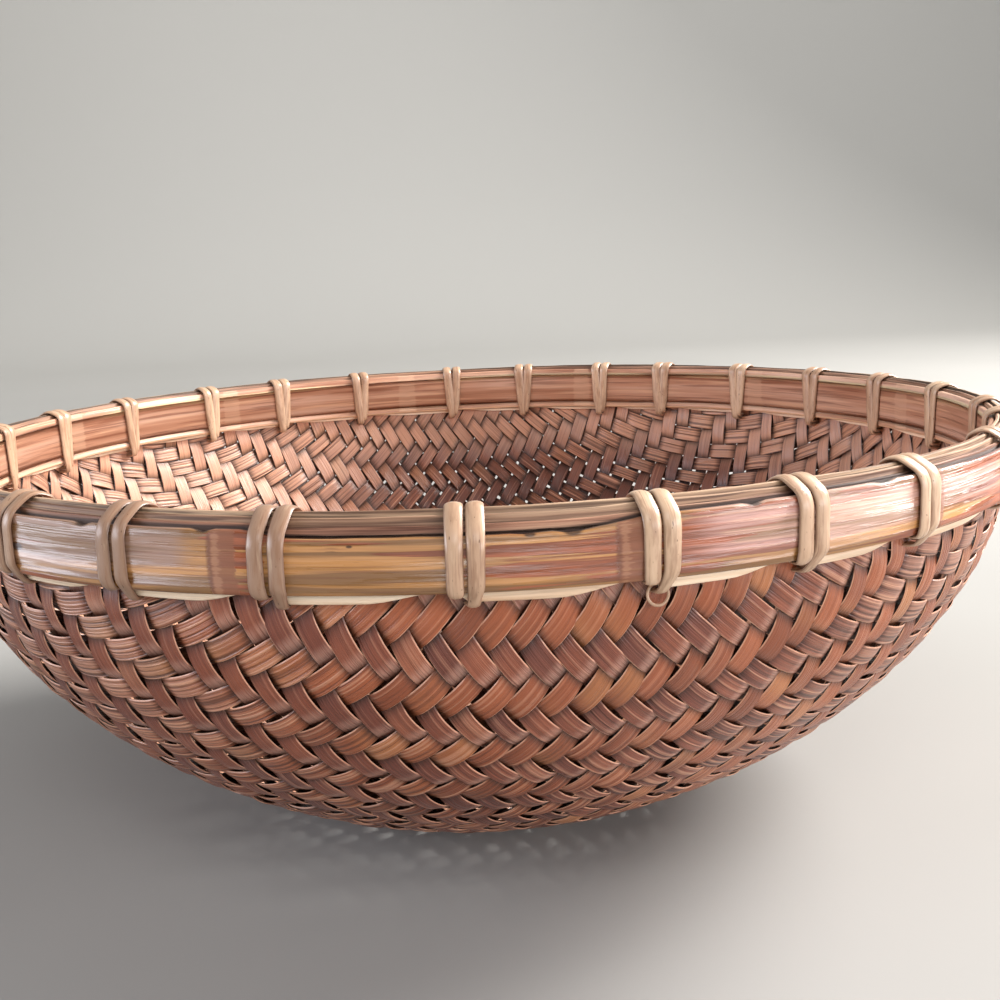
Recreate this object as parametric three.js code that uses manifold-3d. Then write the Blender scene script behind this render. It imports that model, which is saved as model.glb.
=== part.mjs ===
// Round woven bamboo bowl basket with a bound rim.
// Millimetres, +Z up. The origin is the centre of the flat base, on the surface that the basket stands on.
// Azimuths are in degrees: 0 is the front, along -Y, and 90 is the right, along +X.

import * as THREE from 'three';
import * as BufferGeometryUtils from 'three/addons/utils/BufferGeometryUtils.js';
import Module from 'manifold-3d';

const wasm = await Module();
wasm.setup();

// Sizes of the whole basket
const rimRadius = 210;
const rimHeight = 151.4;

// Clearances
const seatGap = 0.3;
const caneClearance = 0.3;

// Rim fillers, thin strips set on edge between the hoops. Their tops make a dome, so each has its drop from the
// top of the rim, from the outermost strip in.
const fillerThickness = 1.5;
const fillerHeight = 7.2;
const fillerDrops = [2.4, 1, 0, 0.4];

// Hoops of split bamboo
const outerHoopThickness = 3.4;
const outerHoopHeight = 17;
const outerHoopTopDrop = 3.6;
const outerHoopEdge = 1.1;
const outerHoopBulge = 0.6;
const innerHoopThickness = 2.2;
const innerHoopHeight = 21;
const innerHoopTopDrop = 1.8;
const innerHoopEdge = 0.7;

// Lower strips, whose edges show under the hoops
const outerStripShow = 2.4;
const innerStripShow = 1.6;
const lowerStripHeight = 13;
const innerStripThickness = 0.9;

// Woven wall
const wallThickness = 1.8;
const wallTopLean = 10;
const clampDrop = 2.5;
const baseFlatRadius = 52;
const baseCurveReach = 32;
const wallCurveReach = 76;
const wallCurveSteps = 200;

// Twill of the wall: over two splints and under two. The splints' floats lie in straight rows along one diagonal of
// the square mat. Each row makes a ridge on both faces of the wall, and the splints dive in the grooves between rows.
const splintPitch = 8.361;
const ridgeRise = 0.6;
const grooveSink = 0.35;
const ridgePointSpacing = 30;
const reliefStart = 50;
const reliefFull = 90;
const reliefFade = 16;

// How the mat was drawn up: its turn on the base in degrees, and at the reference run, how much it is drawn in along
// its splints and let out along its diagonals, and how far it swings from them, in degrees
const matTurn = 39.93;
const matReach = 267.6;
const matDraw = 0.0358;
const matSwing = 2.362;

// Cane lashings
const caneWidth = 4.6;
const caneThickness = 1.5;
const caneEdge = 0.9;
const turnGap = 0.5;
const turnCount = 2;
const lashingCorner = 2.4;
const tailStub = 1.5;
const slotReach = 4;
const lashingAzimuths = [
  -1.1, 12.6, 24.8, 37.4, 55, 70, 79.9, 95, 108.8, 121.7, 135.2, 148.6, 158.9, 171.6,
  183.4, 198.6, 211.8, 224, 238.8, 252.3, 265.7, 279.3, 292.8, 306.4, 319.9, 332.3, 345,
];

// Sides of every ring
const ringSides = 64;

// Radii of the rim, from the outside in
const outerHoopInside = rimRadius - outerHoopThickness;
const fillerPitch = fillerThickness + seatGap;
const fillersOutside = outerHoopInside - seatGap;
const fillersInside = fillersOutside - fillerDrops.length * fillerPitch + seatGap;
const innerHoopOutside = fillersInside - seatGap;
const innerHoopInside = innerHoopOutside - innerHoopThickness;
const innerStripInside = innerHoopOutside + seatGap;
const innerStripOutside = innerStripInside + innerStripThickness;
const wallTopInside = innerStripOutside + seatGap;
const wallTopOutside = wallTopInside + wallThickness;
const outerStripInside = wallTopOutside + seatGap;
const outerStripOutside = outerHoopInside - seatGap;

// Heights of the rim
const outerHoopTop = rimHeight - outerHoopTopDrop;
const outerHoopBottom = outerHoopTop - outerHoopHeight;
const innerHoopTop = rimHeight - innerHoopTopDrop;
const innerHoopBottom = innerHoopTop - innerHoopHeight;
const fillerBottom = rimHeight - fillerHeight;
const wallTop = fillerBottom - seatGap;
const outerStripBottom = outerHoopBottom - outerStripShow;
const innerStripBottom = innerHoopBottom - innerStripShow;
const outerStripTop = Math.min(outerStripBottom + lowerStripHeight, wallTop);
const innerStripTop = Math.min(innerStripBottom + lowerStripHeight, wallTop);
const lowestStrip = Math.min(outerStripBottom, innerStripBottom);
const clampHeight = lowestStrip - clampDrop;

// Centre line of a lashing in the plane of one azimuth
const polygonInset = Math.cos(Math.PI / ringSides);
const halfCane = caneThickness / 2;
const lashingOutside = rimRadius + seatGap + halfCane;
const lashingInside = innerHoopInside * polygonInset - seatGap - halfCane;
const lashingBottom = lowestStrip - seatGap - halfCane;
const turnPitch = caneWidth + turnGap;

const hoopMaterial = new THREE.MeshStandardMaterial({ color: 0xa8713f, roughness: 0.28, metalness: 0 });
const innerHoopMaterial = new THREE.MeshStandardMaterial({ color: 0x9c5a3a, roughness: 0.4, metalness: 0 });
const fillerMaterial = new THREE.MeshStandardMaterial({ color: 0xa28c70, roughness: 0.55, metalness: 0 });
const stripMaterial = new THREE.MeshStandardMaterial({ color: 0xd8bf9a, roughness: 0.5, metalness: 0 });
const weaveMaterial = new THREE.MeshStandardMaterial({ color: 0x9a6246, roughness: 0.55, metalness: 0 });
const caneMaterial = new THREE.MeshStandardMaterial({ color: 0xd9c29c, roughness: 0.45, metalness: 0 });

const basket = new THREE.Group();

function addPiece(name, geometry, material) {
  const mesh = new THREE.Mesh(geometry, material);
  mesh.name = name;
  basket.add(mesh);
}

// A lathe turns about Y, so each ring is stood up to turn about Z
function ring(outline) {
  const geometry = new THREE.LatheGeometry(outline, ringSides);
  geometry.rotateX(Math.PI / 2);
  return geometry;
}

function closed(points) {
  return [...points, points[0].clone()];
}

// Closed outline of a ring with square edges
function plainRing(inside, outside, bottom, top) {
  return ring(closed([
    new THREE.Vector2(inside, bottom),
    new THREE.Vector2(outside, bottom),
    new THREE.Vector2(outside, top),
    new THREE.Vector2(inside, top),
  ]));
}

// Outer hoop: the skin side of the bamboo bulges a little and its edges are rounded off
function outerHoop() {
  const middle = (outerHoopTop + outerHoopBottom) / 2;
  const shoulder = rimRadius - outerHoopBulge;
  return ring(closed([
    new THREE.Vector2(outerHoopInside, outerHoopBottom),
    new THREE.Vector2(shoulder - outerHoopEdge, outerHoopBottom),
    new THREE.Vector2(shoulder, outerHoopBottom + outerHoopEdge),
    new THREE.Vector2(rimRadius, middle),
    new THREE.Vector2(shoulder, outerHoopTop - outerHoopEdge),
    new THREE.Vector2(shoulder - outerHoopEdge, outerHoopTop),
    new THREE.Vector2(outerHoopInside, outerHoopTop),
  ]));
}

// Inner hoop: a thinner strip with its rounded edges towards the inside of the bowl
function innerHoop() {
  return ring(closed([
    new THREE.Vector2(innerHoopInside + innerHoopEdge, innerHoopBottom),
    new THREE.Vector2(innerHoopOutside, innerHoopBottom),
    new THREE.Vector2(innerHoopOutside, innerHoopTop),
    new THREE.Vector2(innerHoopInside + innerHoopEdge, innerHoopTop),
    new THREE.Vector2(innerHoopInside, innerHoopTop - innerHoopEdge),
    new THREE.Vector2(innerHoopInside, innerHoopBottom + innerHoopEdge),
  ]));
}

function rimFiller(index) {
  const outside = fillersOutside - index * fillerPitch;
  return plainRing(outside - fillerThickness, outside, fillerBottom, rimHeight - fillerDrops[index]);
}

// Outside of the woven bowl, flat and then up one cubic curve to the clamp: run from the centre, place, outward
// direction
function wallProfile() {
  const lean = THREE.MathUtils.degToRad(wallTopLean);
  const curve = new THREE.CubicBezierCurve(
    new THREE.Vector2(baseFlatRadius, 0),
    new THREE.Vector2(baseFlatRadius + baseCurveReach, 0),
    new THREE.Vector2(
      wallTopOutside - wallCurveReach * Math.sin(lean),
      clampHeight - wallCurveReach * Math.cos(lean),
    ),
    new THREE.Vector2(wallTopOutside, clampHeight),
  );
  const profile = [{ run: 0, point: new THREE.Vector2(0, 0), outward: new THREE.Vector2(0, -1) }];
  for (let step = 0; step <= wallCurveSteps; step += 1) {
    const point = curve.getPoint(step / wallCurveSteps);
    const tangent = curve.getTangent(step / wallCurveSteps);
    const last = profile[profile.length - 1];
    const run = last.run + point.distanceTo(last.point);
    profile.push({ run, point, outward: new THREE.Vector2(tangent.y, -tangent.x) });
  }
  return profile;
}

const profile = wallProfile();
const clampRun = profile[profile.length - 1].run;
const matEdgeRun = clampRun - splintPitch / 2;

// The plain wall at a run: the middle of its thickness and the outward direction
function wallMiddle(run) {
  const index = Math.max(1, profile.findIndex((place) => place.run >= run));
  const [before, after] = [profile[index - 1], profile[index]];
  const share = (run - before.run) / (after.run - before.run);
  const outward = before.outward.clone().lerp(after.outward, share).normalize();
  const middle = before.point.clone().lerp(after.point, share).addScaledVector(outward, -wallThickness / 2);
  return { middle, outward };
}

// Run and azimuth of a place in the mat, given in splints along and across its rows of floats, from its centre
function onMat(along, across) {
  const u = (across + along) / 2;
  const v = (across - along) / 2;
  const flatRun = splintPitch * Math.hypot(u, v);
  const turn = Math.atan2(v, u);
  const drawn = flatRun / matReach;
  const swing = THREE.MathUtils.degToRad(matSwing) * drawn * Math.sin(4 * turn);
  return {
    run: flatRun * (1 - matDraw * drawn * Math.cos(4 * turn)),
    azimuth: turn + swing - THREE.MathUtils.degToRad(matTurn),
  };
}

// How far a row runs to each side of its middle before it meets the mat's edge
function rowReach(across) {
  let near = 0;
  let far = 3 * matEdgeRun / splintPitch;
  while (far - near > 1e-4) {
    const middle = (near + far) / 2;
    if (onMat(middle, across).run < matEdgeRun) {
      near = middle;
    } else {
      far = middle;
    }
  }
  return near;
}

// The mat's points, row by row: along each ridge and along each groove between two ridges
function matRows() {
  const rows = [];
  const pointStep = ridgePointSpacing * Math.SQRT2 / splintPitch;
  const last = Math.ceil(2 * matEdgeRun / splintPitch);
  for (let index = -last; index <= last; index += 1) {
    const across = index + 0.5;
    if (onMat(0, across).run < matEdgeRun - splintPitch / 2) {
      const reach = rowReach(across);
      const parts = Math.max(2, Math.ceil(2 * reach / pointStep));
      const isRidge = Math.abs(index % 2) === 1;
      rows.push(Array.from({ length: parts + 1 }, (_, part) => {
        const along = reach * (2 * part / parts - 1);
        return { along, ...onMat(along, across), isRidge };
      }));
    }
  }
  return rows;
}

// Out from the plain wall's faces, and in where negative
function relief(place) {
  const climb = THREE.MathUtils.smoothstep(place.run, reliefStart, reliefFull);
  const held = THREE.MathUtils.smoothstep(place.run, matEdgeRun - reliefFade, matEdgeRun);
  return climb * (1 - held) * (place.isRidge ? ridgeRise : -grooveSink);
}

function turned(radius, azimuth, height) {
  return [radius * Math.sin(azimuth), -radius * Math.cos(azimuth), height];
}

// Triangles between two lines of points, each with a measure that grows along it
function zip(first, second, measure) {
  const faces = [];
  let one = 0;
  let other = 0;
  while (one + 1 < first.length || other + 1 < second.length) {
    const goFirst = other + 1 === second.length
      || (one + 1 < first.length && measure(first, one + 1) < measure(second, other + 1));
    if (goFirst) {
      faces.push([first[one], first[one + 1], second[other]]);
      one += 1;
    } else {
      faces.push([first[one], second[other + 1], second[other]]);
      other += 1;
    }
  }
  return faces;
}

// A closed line of points by azimuth, with its first point again at its end
function roundTheBowl(places) {
  const full = 2 * Math.PI;
  const ordered = places.map((place) => ({ ...place, azimuth: ((place.azimuth % full) + full) % full }));
  ordered.sort((one, other) => one.azimuth - other.azimuth);
  return [...ordered, { ...ordered[0], azimuth: ordered[0].azimuth + full }];
}

// Woven bowl: both faces carry the mat's rows up to its edge, and above it plain rings reach up between the hoops
function wovenShell() {
  let count = 0;
  const numbered = (place) => {
    const number = count;
    count += 1;
    return { ...place, number };
  };
  const rows = matRows().map((row) => row.map(numbered));
  const ringPlaces = Array.from({ length: ringSides }, (_, side) => 2 * Math.PI * side / ringSides);
  const clampRing = ringPlaces.map((azimuth) => numbered({ azimuth, level: 0 }));
  const topRing = ringPlaces.map((azimuth) => numbered({ azimuth, level: 1 }));
  const insideLean = THREE.MathUtils.degToRad(wallTopLean);
  const clampInside = {
    radius: wallTopOutside - wallThickness * Math.cos(insideLean),
    height: clampHeight + wallThickness * Math.sin(insideLean),
  };

  const pointAt = (place, side) => {
    if (place.level === 1) {
      return turned(side > 0 ? wallTopOutside : wallTopInside, place.azimuth, wallTop);
    }
    if (place.level === 0) {
      const radius = side > 0 ? wallTopOutside : clampInside.radius;
      return turned(radius, place.azimuth, side > 0 ? clampHeight : clampInside.height);
    }
    const { middle, outward } = wallMiddle(place.run);
    const point = middle.addScaledVector(outward, side * (wallThickness / 2 + relief(place)));
    return turned(point.x, place.azimuth, point.y);
  };

  const all = [...rows.flat(), ...clampRing, ...topRing];
  const positions = [1, -1].flatMap((side) => all.flatMap((place) => pointAt(place, side)));

  const byAlong = (line, index) => line[index].along;
  const byAzimuth = (line, index) => line[index].azimuth;
  const wallFaces = [];
  for (let index = 0; index + 1 < rows.length; index += 1) {
    wallFaces.push(...zip(rows[index], rows[index + 1], byAlong));
  }
  const lastRow = rows[rows.length - 1];
  const edge = [...rows[0], ...lastRow];
  rows.slice(1, -1).forEach((row) => edge.push(row[0], row[row.length - 1]));
  const edgeLine = roundTheBowl(edge);
  const clampLine = roundTheBowl(clampRing);
  const topLine = roundTheBowl(topRing);
  wallFaces.push(...zip(clampLine, edgeLine, byAzimuth), ...zip(topLine, clampLine, byAzimuth));

  const faces = wallFaces.flatMap((face) => {
    const [one, two, three] = face.map((place) => place.number);
    return [one, three, two, one + count, two + count, three + count];
  });
  topRing.forEach((place, side) => {
    const next = topRing[(side + 1) % ringSides];
    faces.push(place.number, next.number, place.number + count);
    faces.push(next.number, next.number + count, place.number + count);
  });
  const geometry = new THREE.BufferGeometry();
  geometry.setAttribute('position', new THREE.Float32BufferAttribute(positions, 3));
  geometry.setIndex(faces);
  return geometry;
}

function toSolid(geometry) {
  const bare = geometry.clone();
  bare.deleteAttribute('normal');
  bare.deleteAttribute('uv');
  const merged = BufferGeometryUtils.mergeVertices(bare);
  return new wasm.Manifold(new wasm.Mesh({
    numProp: 3,
    vertProperties: new Float32Array(merged.attributes.position.array),
    triVerts: new Uint32Array(merged.index.array),
  }));
}

function toGeometry(solid) {
  const mesh = solid.getMesh();
  const geometry = new THREE.BufferGeometry();
  geometry.setAttribute('position', new THREE.BufferAttribute(new Float32Array(mesh.vertProperties), 3));
  geometry.setIndex(new THREE.BufferAttribute(new Uint32Array(mesh.triVerts), 1));
  return geometry;
}

// Each lashing goes through the wall in a slot as wide as its two passes
function lashingSlot(azimuth) {
  const width = turnPitch * (turnCount - 1) + caneWidth + 2 * caneClearance;
  const depth = wallThickness + 2 * slotReach;
  const slot = new THREE.BoxGeometry(width, depth, caneThickness + 2 * caneClearance);
  slot.translate(0, -(wallTopInside + wallTopOutside) / 2, lashingBottom);
  slot.rotateZ(THREE.MathUtils.degToRad(azimuth));
  return slot;
}

function wovenBowl() {
  let bowl = toSolid(wovenShell());
  for (const azimuth of lashingAzimuths) {
    bowl = bowl.subtract(toSolid(lashingSlot(azimuth)));
  }
  return toGeometry(bowl);
}

// Corners of the rim's section that may carry a lashing, from the outside over the top to the inside
function rimTopCorners() {
  const corners = [new THREE.Vector2(rimRadius, outerHoopTop - outerHoopEdge)];
  fillerDrops.forEach((drop, index) => {
    const outside = fillersOutside - index * fillerPitch;
    corners.push(new THREE.Vector2(outside, rimHeight - drop));
    corners.push(new THREE.Vector2((outside - fillerThickness) * polygonInset, rimHeight - drop));
  });
  corners.push(new THREE.Vector2(innerHoopInside * polygonInset, innerHoopTop));
  return corners;
}

// The corners that a strip pulled tight over the rim touches
function tightCorners() {
  const touched = [];
  for (const corner of rimTopCorners()) {
    while (touched.length > 1) {
      const last = touched[touched.length - 1];
      const before = touched[touched.length - 2];
      if (last.clone().sub(before).cross(corner.clone().sub(last)) > 0) {
        break;
      }
      touched.pop();
    }
    touched.push(corner);
  }
  return touched;
}

// Directions, in degrees, that the cane's outer face has where it bends over one of those corners
function facingsAt(touched, index) {
  const facingAlong = (from, to) => THREE.MathUtils.radToDeg(Math.atan2(from.x - to.x, to.y - from.y));
  if (index === 0) {
    return [0, facingAlong(touched[0], touched[1])];
  }
  if (index === touched.length - 1) {
    return [facingAlong(touched[index - 1], touched[index]), 180];
  }
  const arriving = facingAlong(touched[index - 1], touched[index]);
  const leaving = facingAlong(touched[index], touched[index + 1]);
  return [(arriving + leaving) / 2];
}

// Stations of a lashing's centre line: radius, height, direction of the cane's outer face, place across the turns.
// Each turn goes out through the wall, up the outer hoop, over the fillers and slants down the inner hoop.
function lashingStations() {
  const stations = [];
  const place = (centre, reach, facing, across) => {
    const angle = THREE.MathUtils.degToRad(facing);
    const radius = centre.x + reach * Math.cos(angle);
    stations.push({ radius, height: centre.y + reach * Math.sin(angle), facing, across });
  };
  const lowOutside = new THREE.Vector2(lashingOutside - lashingCorner, lashingBottom + lashingCorner);
  const lowInside = new THREE.Vector2(lashingInside + lashingCorner, lashingBottom + lashingCorner);
  const touched = tightCorners();
  place(new THREE.Vector2(wallTopInside - wallThickness - tailStub, lashingBottom), 0, -90, 0);
  for (let turn = 0; turn < turnCount; turn += 1) {
    place(lowOutside, lashingCorner, -90, turn);
    place(lowOutside, lashingCorner, 0, turn);
    touched.forEach((corner, index) => {
      facingsAt(touched, index).forEach((facing) => place(corner, seatGap + halfCane, facing, turn));
    });
    place(lowInside, lashingCorner, 180, turn + 1);
    place(lowInside, lashingCorner, 270, turn + 1);
  }
  return stations;
}

// Corners of the cane's flat, round-edged section: across its width, and out from its centre line
function caneSection() {
  const half = caneWidth / 2;
  return [
    [-half, 0],
    [-half + caneEdge, -halfCane],
    [half - caneEdge, -halfCane],
    [half, 0],
    [half - caneEdge, halfCane],
    [-half + caneEdge, halfCane],
  ];
}

// Points of one lashing at azimuth 0, a ring of section corners for each station
function lashingRings() {
  const middle = (turnCount - 1) / 2;
  return lashingStations().map((station) => {
    const facing = THREE.MathUtils.degToRad(station.facing);
    return caneSection().map(([across, out]) => new THREE.Vector3(
      (station.across - middle) * turnPitch + across,
      -(station.radius + out * Math.cos(facing)),
      station.height + out * Math.sin(facing),
    ));
  });
}

// Least distance between stretches of the lashing that are at least half a turn apart, on points along its edges
function leastOwnGap(rings) {
  const samples = [];
  const between = 6;
  for (let index = 0; index + 1 < rings.length; index += 1) {
    for (let corner = 0; corner < rings[index].length; corner += 1) {
      for (let part = 0; part < between; part += 1) {
        const point = rings[index][corner].clone().lerp(rings[index + 1][corner], part / between);
        samples.push({ point, at: index + part / between });
      }
    }
  }
  const halfTurn = (rings.length - 1) / turnCount / 2;
  let least = Infinity;
  for (const one of samples) {
    for (const other of samples) {
      if (other.at - one.at > halfTurn) {
        least = Math.min(least, one.point.distanceTo(other.point));
      }
    }
  }
  return least;
}

// A closed tube through the rings, joined side by side and shut at both ends
function tube(rings) {
  const sides = rings[0].length;
  const positions = rings.flat().flatMap((point) => [point.x, point.y, point.z]);
  const faces = [];
  for (let index = 0; index + 1 < rings.length; index += 1) {
    for (let side = 0; side < sides; side += 1) {
      const here = index * sides + side;
      const next = index * sides + ((side + 1) % sides);
      faces.push(here, here + sides, next, next, here + sides, next + sides);
    }
  }
  const last = (rings.length - 1) * sides;
  for (let side = 1; side + 1 < sides; side += 1) {
    faces.push(0, side, side + 1);
    faces.push(last, last + side + 1, last + side);
  }
  const geometry = new THREE.BufferGeometry();
  geometry.setAttribute('position', new THREE.Float32BufferAttribute(positions, 3));
  geometry.setIndex(faces);
  return geometry;
}

addPiece('woven_bowl', wovenBowl(), weaveMaterial);
addPiece('outer_hoop', outerHoop(), hoopMaterial);
addPiece('inner_hoop', innerHoop(), innerHoopMaterial);
for (let index = 0; index < fillerDrops.length; index += 1) {
  addPiece(`rim_filler_${index + 1}`, rimFiller(index), fillerMaterial);
}
addPiece(
  'outer_lower_strip',
  plainRing(outerStripInside, outerStripOutside, outerStripBottom, outerStripTop),
  stripMaterial,
);
addPiece(
  'inner_lower_strip',
  plainRing(innerStripInside, innerStripOutside, innerStripBottom, innerStripTop),
  stripMaterial,
);
const rings = lashingRings();
lashingAzimuths.forEach((azimuth, index) => {
  const lashing = tube(rings);
  lashing.rotateZ(THREE.MathUtils.degToRad(azimuth));
  addPiece(`lashing_${String(index + 1).padStart(2, '0')}`, lashing, caneMaterial);
});
console.log(`least gap of a lashing to itself: ${leastOwnGap(rings).toFixed(2)} mm`);

export default basket;
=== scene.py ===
# Round woven bamboo bowl basket with a bound rim. Metres, +Z up, and the flat base stands on z = 0.
# Azimuth 0 is the front, along -Y, and 90 degrees is the right, along +X.
import math

import bmesh
import bpy
import numpy as np
from mathutils import Matrix, Vector, noise


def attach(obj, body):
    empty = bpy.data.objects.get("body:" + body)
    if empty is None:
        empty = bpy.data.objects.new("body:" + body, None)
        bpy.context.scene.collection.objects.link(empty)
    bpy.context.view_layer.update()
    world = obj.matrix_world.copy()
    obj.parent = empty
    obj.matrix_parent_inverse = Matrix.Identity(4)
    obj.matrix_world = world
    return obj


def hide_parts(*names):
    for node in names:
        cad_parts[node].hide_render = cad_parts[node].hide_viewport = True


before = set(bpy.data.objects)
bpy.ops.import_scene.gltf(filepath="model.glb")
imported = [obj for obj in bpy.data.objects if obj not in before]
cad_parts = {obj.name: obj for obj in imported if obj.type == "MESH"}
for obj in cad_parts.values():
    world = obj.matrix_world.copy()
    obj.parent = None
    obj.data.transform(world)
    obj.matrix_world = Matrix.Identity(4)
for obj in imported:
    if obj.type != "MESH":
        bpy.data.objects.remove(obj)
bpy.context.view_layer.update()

scene = bpy.context.scene
MM = 0.001

# Rim sizes, the same as in the solids
RIM_RADIUS = 210 * MM
RIM_HEIGHT = 151.4 * MM
SEAT_GAP = 0.3 * MM
FILLER_THICKNESS = 1.5 * MM
FILLER_HEIGHT = 7.2 * MM
FILLER_DROPS = (2.4 * MM, 1.0 * MM, 0, 0.4 * MM)
OUTER_HOOP_THICKNESS = 3.4 * MM
OUTER_HOOP_HEIGHT = 17 * MM
OUTER_HOOP_DROP = 3.6 * MM
OUTER_HOOP_BULGE = 0.6 * MM
INNER_HOOP_THICKNESS = 2.2 * MM
INNER_HOOP_HEIGHT = 21 * MM
INNER_HOOP_DROP = 1.8 * MM
OUTER_STRIP_SHOW = 2.4 * MM
INNER_STRIP_SHOW = 1.6 * MM
STRIP_HEIGHT = 13 * MM
INNER_STRIP_THICKNESS = 0.9 * MM

# How far the outer hoop and each filler, from the outside in, sink at the front
HOOP_DIP = 2.2 * MM
FILLER_DIPS = (1.2 * MM, 0.5 * MM, 0, 0)

# Bowl sizes
WALL_THICKNESS = 1.8 * MM
WALL_TOP_LEAN = math.radians(10)
CLAMP_DROP = 2.5 * MM
BASE_FLAT_RADIUS = 52 * MM
BASE_CURVE_REACH = 32 * MM
WALL_CURVE_REACH = 76 * MM
BASE_STEPS = 40

# Splints: how far apart they lie on the flat base, how many run each way, stations along each from one splint to
# the next, where they end in the rim, and where in its beat the twill starts
SPLINT_PITCH = 8.361 * MM
SPLINT_COUNT = 66
SPLINT_STEPS = 6
SPLINT_TOP = 137 * MM
TWILL_PHASE = 2
SPLINT_GROUPS = 4
MOST_FLOATS = 64

# The numbers that tell splints apart in their finish count from these, for each of the two sets
WARP_NUMBERS = 200
WEFT_NUMBERS = 400

# How the mat was drawn up: its turn, and MAT_REACH splints from its middle, how much it is drawn in along its
# splints and let out along its diagonals, and how far it swings from them
MAT_TURN = math.radians(39.93)
MAT_REACH = 32
MAT_DRAW = 0.03577
MAT_SWING = 0.16487

# Section of a splint, round from one edge over its outer face and back: across in half widths, out in thicknesses
SPLINT_SECTION = np.array((
    (-1, 0), (-0.9, 0.42), (0, 0.60), (0.9, 0.42), (1, 0), (0.9, -0.42), (0, -0.60), (-0.9, -0.42), (-1, 0),
))

# The back wall: azimuths where its weave is loose and lets light through, and where its inside is painted in shade
LOOSE_AZIMUTH = 167
SHADED_BACK_AZIMUTH = 165

# Cane of the lashings
CANE_WIDTH = 5.0 * MM
CANE_THICKNESS = 1.3 * MM
TURN_PITCH = 5.1 * MM
LASHING_AZIMUTHS = (
    -1.1, 12.6, 24.8, 37.4, 55, 70, 79.9, 95, 108.8, 121.7, 135.2, 148.6, 158.9, 171.6,
    183.4, 198.6, 211.8, 224, 238.8, 252.3, 265.7, 279.3, 292.8, 306.4, 319.9, 332.3, 345,
)

# Section of the cane, round from one edge over its outer face and back: across in widths, out in thicknesses
CANE_SECTION = np.array((
    (-0.5, -0.2), (-0.46, 0.04), (-0.33, 0.3), (-0.13, 0.47),
    (0.13, 0.47), (0.33, 0.3), (0.46, 0.04), (0.5, -0.2),
    (0.44, -0.42), (0.2, -0.5), (-0.2, -0.5), (-0.44, -0.42), (-0.5, -0.2),
))

# The loose cane end: radius of its loop, half its own thickness, and how far round it goes
LOOP_RADIUS = 2.9 * MM
LOOP_CANE_RADIUS = 0.42 * MM
LOOP_TURN = math.radians(318)

# Places of the bamboo's nodes along the two hoops, in degrees
OUTER_HOOP_NODES = (-18.4, 10.5, 38.6, 66.5, 95.2, 124.1, 152.7, 181.3, 210.4, 239.0, 267.3, 296.0, 320.0)
INNER_HOOP_NODES = (12.0, 44.1, 73.5, 102.9, 132.2, 162.0, 191.0, 220.6, 249.5, 278.8, 308.0, 338.0)

# Chips in the outer hoop's top edge and knots lower down: azimuth, how far under the top edge, reach
HOOP_MARKS = (
    (-31, 0.3 * MM, 2.4 * MM), (-20, 0.3 * MM, 2.0 * MM), (3.4, 0.3 * MM, 1.6 * MM), (6.4, 0.3 * MM, 2.6 * MM),
    (20, 0.3 * MM, 2.2 * MM), (32.5, 0.3 * MM, 2.6 * MM), (-38.5, 9 * MM, 3.0 * MM), (-9, 4 * MM, 0.9 * MM),
    (61, 0.3 * MM, 2.4 * MM), (104, 6 * MM, 2.6 * MM), (143, 0.3 * MM, 2.0 * MM), (205, 0.3 * MM, 2.4 * MM),
    (262, 7 * MM, 2.8 * MM),
)
CHIP_DEPTH = 0.9 * MM
DEEPEST_CHIP = 1 * MM

# Stations round each ring, and the strips that its UV map is cut into
RING_STEPS = 360
RING_ARCS = 8

# Radii and heights of the rim, from the outside in
outer_hoop_inside = RIM_RADIUS - OUTER_HOOP_THICKNESS
filler_pitch = FILLER_THICKNESS + SEAT_GAP
fillers_outside = outer_hoop_inside - SEAT_GAP
inner_hoop_outside = fillers_outside - len(FILLER_DROPS) * filler_pitch
inner_hoop_inside = inner_hoop_outside - INNER_HOOP_THICKNESS
inner_strip_inside = inner_hoop_outside + SEAT_GAP
wall_top_outside = inner_strip_inside + INNER_STRIP_THICKNESS + SEAT_GAP + WALL_THICKNESS
outer_strip_inside = wall_top_outside + SEAT_GAP
outer_strip_outside = outer_hoop_inside - SEAT_GAP
outer_hoop_top = RIM_HEIGHT - OUTER_HOOP_DROP
outer_hoop_bottom = outer_hoop_top - OUTER_HOOP_HEIGHT
inner_hoop_top = RIM_HEIGHT - INNER_HOOP_DROP
inner_hoop_bottom = inner_hoop_top - INNER_HOOP_HEIGHT
filler_bottom = RIM_HEIGHT - FILLER_HEIGHT
outer_strip_bottom = outer_hoop_bottom - OUTER_STRIP_SHOW
inner_strip_bottom = inner_hoop_bottom - INNER_STRIP_SHOW
clamp_height = min(outer_strip_bottom, inner_strip_bottom) - CLAMP_DROP


def on_circle(azimuth_degrees, radius, height):
    azimuth = math.radians(azimuth_degrees)
    return Vector((radius * math.sin(azimuth), -radius * math.cos(azimuth), height))


def azimuth_of(point):
    return math.degrees(math.atan2(point.x, -point.y)) % 360


def degrees_apart(one, other):
    return abs((one - other + 180) % 360 - 180)


def smooth(value, start, end):
    share = np.clip((value - start) / (end - start), 0, 1)
    return share * share * (3 - 2 * share)


def add_piece(name, mesh, finish, slot, *nodes):
    """Puts a finished mesh into the scene in place of the named solids."""
    mesh.materials.append(finish)
    piece = bpy.data.objects.new(name, mesh)
    scene.collection.objects.link(piece)
    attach(piece, "root")
    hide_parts(*nodes)


def mesh_from(bm, name):
    mesh = bpy.data.meshes.new(name)
    bm.to_mesh(mesh)
    bm.free()
    return mesh


def close_ends(bm, sides):
    bmesh.ops.holes_fill(bm, edges=[edge for edge in bm.edges if edge.is_boundary], sides=sides)
    bmesh.ops.recalc_face_normals(bm, faces=bm.faces)


# Finishes

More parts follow.
